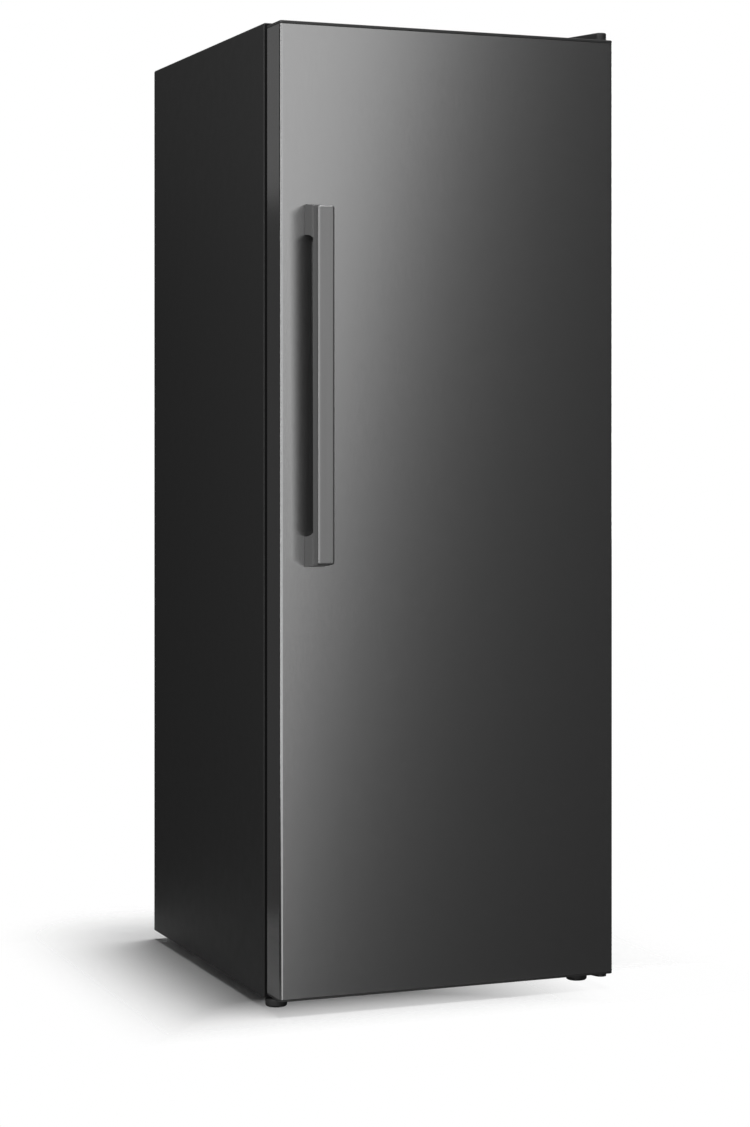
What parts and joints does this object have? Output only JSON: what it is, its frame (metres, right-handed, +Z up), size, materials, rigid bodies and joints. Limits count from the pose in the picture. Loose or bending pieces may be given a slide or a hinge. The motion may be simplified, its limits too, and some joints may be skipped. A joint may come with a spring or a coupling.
{
  "type": "upright freezer",
  "caption": "Upright freezer with one full-height right-hinged steel door, a vertical bar handle and clear drawers on glass shelves.",
  "frame": {"origin": "middle of the footprint on the floor", "axes": "+Z up; the door faces -Y; the hinge side is +X and the handle side is -X"},
  "size_m": [0.595, 0.752, 1.611],
  "materials": {
    "cabinet_paint": "satin",
    "door_steel": "satin",
    "handle_metal": "satin",
    "dark_plastic": "matte",
    "white_plastic": "satin",
    "foam": "matte",
    "galvanised": "satin",
    "clear_plastic": "gloss",
    "shelf_glass": "gloss",
    "gasket_rubber": "matte",
    "hinge_steel": "satin",
    "pin_steel": "gloss",
    "acetal": "satin",
    "compressor_black": "satin",
    "aluminium": "satin",
    "copper": "satin",
    "mount_rubber": "matte"
  },
  "bodies": {
    "cabinet": {"outer_casing": "cabinet_paint", "front_rail": "cabinet_paint", "base_plate": "galvanised", "back_panel": "cabinet_paint", "niche_liner": "galvanised", "foam_body": "foam", "inner_liner": "white_plastic", "duct_cover": "white_plastic", "evaporator": "aluminium", "fan_bracket": "white_plastic", "fan_motor": "galvanised", "control_housing": "white_plastic", "lamp_lens": "clear_plastic", "top_hinge_bracket": "hinge_steel", "top_hinge_pin": "pin_steel", "top_hinge_cover": "dark_plastic", "bottom_hinge_bracket": "hinge_steel", "compressor_plate": "galvanised", "compressor": "compressor_black", "terminal_box": "dark_plastic", "evaporation_tray": "dark_plastic", "suction_pipe": "copper", "discharge_pipe": "copper", "filter_drier": "copper", "glass_shelf_1": "shelf_glass", "glass_shelf_2": "shelf_glass", "glass_shelf_3": "shelf_glass", "glass_shelf_4": "shelf_glass", "glass_shelf_5": "shelf_glass", "glass_shelf_6": "shelf_glass", "compressor_mount_1": "mount_rubber", "compressor_mount_2": "mount_rubber", "compressor_mount_3": "mount_rubber", "compressor_mount_4": "mount_rubber", "roller_axle_left": "pin_steel", "roller_axle_right": "pin_steel"},
    "door": {"door_skin": "door_steel", "door_top_cap": "dark_plastic", "door_bottom_cap": "dark_plastic", "door_foam": "foam", "door_liner": "white_plastic", "door_gasket": "gasket_rubber", "handle_grip": "handle_metal", "handle_post_upper": "handle_metal", "handle_post_lower": "handle_metal", "top_hinge_bush": "acetal", "bottom_hinge_bush": "acetal"},
    "drawer_1": {"drawer_1": "clear_plastic"},
    "drawer_2": {"drawer_2": "clear_plastic"},
    "drawer_3": {"drawer_3": "clear_plastic"},
    "drawer_4": {"drawer_4": "clear_plastic"},
    "drawer_5": {"drawer_5": "clear_plastic"},
    "drawer_6": {"drawer_6": "clear_plastic"},
    "drawer_7": {"drawer_7": "clear_plastic"},
    "fan": {"fan_impeller": "dark_plastic"},
    "knob": {"control_knob": "white_plastic"},
    "foot_left": {"front_foot_left": "dark_plastic"},
    "foot_right": {"front_foot_right": "dark_plastic"},
    "roller_left": {"rear_roller_left": "dark_plastic"},
    "roller_right": {"rear_roller_right": "dark_plastic"}
  },
  "joints": [
    {"name": "door_hinge", "type": "hinge", "parent": "cabinet", "child": "door", "pos_m": [0.2845, -0.294, 0], "axis": [0, 0, 1], "range_deg": [0, 125]},
    {"name": "drawer_1_slide", "type": "slide", "parent": "cabinet", "child": "drawer_1", "axis": [0, -1, 0], "range_m": [0, 0.02]},
    {"name": "drawer_2_slide", "type": "slide", "parent": "cabinet", "child": "drawer_2", "axis": [0, -1, 0], "range_m": [0, 0.02]},
    {"name": "drawer_3_slide", "type": "slide", "parent": "cabinet", "child": "drawer_3", "axis": [0, -1, 0], "range_m": [0, 0.02]},
    {"name": "drawer_4_slide", "type": "slide", "parent": "cabinet", "child": "drawer_4", "axis": [0, -1, 0], "range_m": [0, 0.02]},
    {"name": "drawer_5_slide", "type": "slide", "parent": "cabinet", "child": "drawer_5", "axis": [0, -1, 0], "range_m": [0, 0.02]},
    {"name": "drawer_6_slide", "type": "slide", "parent": "cabinet", "child": "drawer_6", "axis": [0, -1, 0], "range_m": [0, 0.02]},
    {"name": "drawer_7_slide", "type": "slide", "parent": "cabinet", "child": "drawer_7", "axis": [0, -1, 0], "range_m": [0, 0.02]},
    {"name": "fan_spin", "type": "hinge", "parent": "cabinet", "child": "fan", "pos_m": [0, 0.26, 0.6542], "axis": [0, 1, 0], "continuous": true},
    {"name": "knob_turn", "type": "hinge", "parent": "cabinet", "child": "knob", "pos_m": [0.055, -0.194, 1.5228], "axis": [0, -1, 0], "range_deg": [0, 270]},
    {"name": "foot_left_screw", "type": "slide", "parent": "cabinet", "child": "foot_left", "axis": [0, 0, -1], "range_m": [0, 0.015]},
    {"name": "foot_right_screw", "type": "slide", "parent": "cabinet", "child": "foot_right", "axis": [0, 0, -1], "range_m": [0, 0.015]},
    {"name": "roller_left_spin", "type": "hinge", "parent": "cabinet", "child": "roller_left", "pos_m": [-0.2495, 0.336, 0.012], "axis": [1, 0, 0], "continuous": true},
    {"name": "roller_right_spin", "type": "hinge", "parent": "cabinet", "child": "roller_right", "pos_m": [0.2495, 0.336, 0.012], "axis": [1, 0, 0], "continuous": true}
  ]
}
